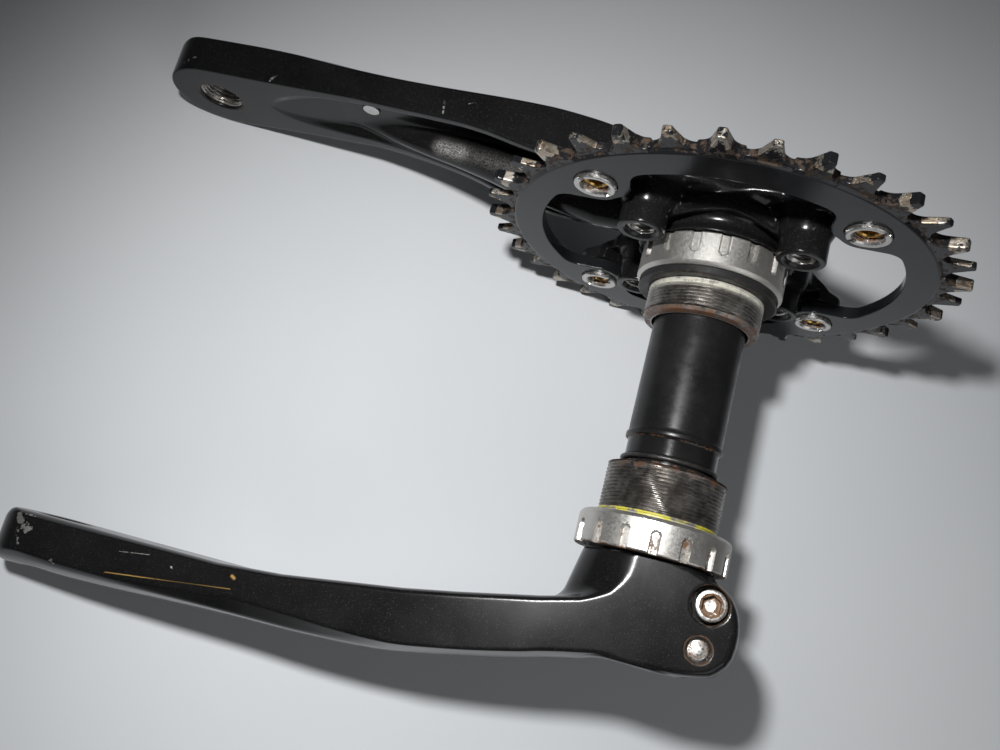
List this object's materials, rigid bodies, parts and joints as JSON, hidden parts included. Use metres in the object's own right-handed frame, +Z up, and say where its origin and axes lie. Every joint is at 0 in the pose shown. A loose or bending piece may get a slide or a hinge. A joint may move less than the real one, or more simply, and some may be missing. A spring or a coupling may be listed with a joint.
{
  "type": "bicycle crankset",
  "caption": "Bicycle crankset: two crank arms on a hollow spindle, spider with a single narrow-wide chainring, threaded outboard-bearing cups and centre sleeve.",
  "frame": {"origin": "on the spindle axis, at the centre of the frame shell the two cups screw into", "axes": "+Y along the spindle towards the left arm, chainring side at -Y, +Z up; at rest both arms point to +X and hang 18.4 degrees below level, so that the lowest teeth and both arm ends stand on one plane"},
  "size_m": [0.2553, 0.182, 0.1446],
  "materials": {
    "arm_black": "satin black paint with fine metallic grain over forged alloy, silver where chipped",
    "ring_black": "dark anodised, teeth worn to bare metal",
    "cup_alloy": "bead-blasted, slightly dirty",
    "spindle_steel": "ground",
    "bolt_steel": "plated, dirty in the recesses",
    "bolt_bronze": "gold-toned plating",
    "bearing_steel": "polished",
    "black_plastic": "moulded, satin, greasy",
    "cage_plastic": "moulded nylon",
    "black_rubber": "matt"
  },
  "bodies": {
    "bottom_bracket": {"drive_cup": "cup_alloy", "left_cup": "cup_alloy", "cup_spacer": "black_plastic", "center_sleeve": "black_plastic", "sleeve_o_rings": "black_rubber", "drive_bearing_outer_race": "bearing_steel", "left_bearing_outer_race": "bearing_steel", "drive_bearing_seals": "black_rubber", "left_bearing_seals": "black_rubber"},
    "crank": {"right_crank_arm": "arm_black", "arm_core_plug": "cup_alloy", "spindle": "spindle_steel", "left_crank_arm": "arm_black", "pinch_bolts": "bolt_steel", "stopper_plate": "black_plastic", "preload_cap": "black_plastic", "chainring": "ring_black", "chainring_bolts": "bolt_bronze", "chainring_nuts": "bolt_steel", "drive_bearing_inner_race": "bearing_steel", "left_bearing_inner_race": "bearing_steel", "drive_bearing_cover": "black_plastic", "left_bearing_cover": "black_plastic"},
    "drive_bearing_cage_body": {"drive_bearing_cage": "cage_plastic", "drive_bearing_balls": "bearing_steel"},
    "left_bearing_cage_body": {"left_bearing_cage": "cage_plastic", "left_bearing_balls": "bearing_steel"}
  },
  "joints": [
    {"name": "crank_spin", "type": "hinge", "parent": "bottom_bracket", "child": "crank", "pos_m": [0, 0, 0], "axis": [0, -1, 0], "continuous": true},
    {"name": "drive_cage_spin", "type": "hinge", "parent": "bottom_bracket", "child": "drive_bearing_cage_body", "pos_m": [0, -0.0435, 0], "axis": [0, -1, 0], "continuous": true},
    {"name": "left_cage_spin", "type": "hinge", "parent": "bottom_bracket", "child": "left_bearing_cage_body", "pos_m": [0, 0.0407, 0], "axis": [0, -1, 0], "continuous": true}
  ],
  "couplings": [
    {"joint": "drive_cage_spin", "follows": "crank_spin", "ratio": 0.4435},
    {"joint": "left_cage_spin", "follows": "crank_spin", "ratio": 0.4435}
  ]
}
